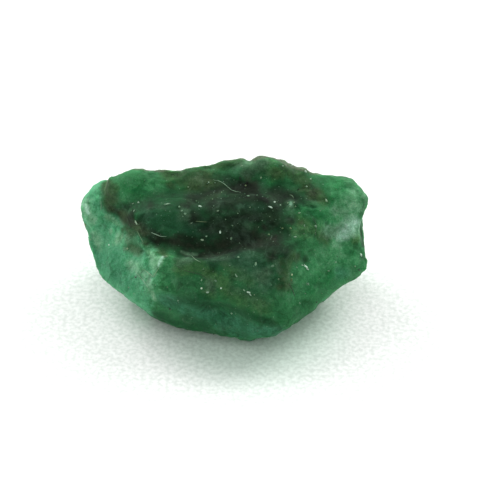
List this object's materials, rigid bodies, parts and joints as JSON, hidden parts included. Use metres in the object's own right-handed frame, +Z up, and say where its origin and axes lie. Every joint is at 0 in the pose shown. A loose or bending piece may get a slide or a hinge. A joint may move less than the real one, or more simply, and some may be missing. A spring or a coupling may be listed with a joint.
{
  "type": "raw emerald crystal",
  "caption": "Rough green emerald, a worn broken lump with a long dark crease under a brow, lying on a flat break.",
  "frame": {"origin": "middle of the stone's bounding box at the flat break it rests on", "axes": "+X along the stone's length to its right-hand end, -Y to the front, +Z up"},
  "size_m": [0.02, 0.0128, 0.0091],
  "materials": {
    "emerald": "worn, waxy, softly see-through"
  },
  "bodies": {
    "root": {"emerald": "emerald"}
  },
  "joints": []
}
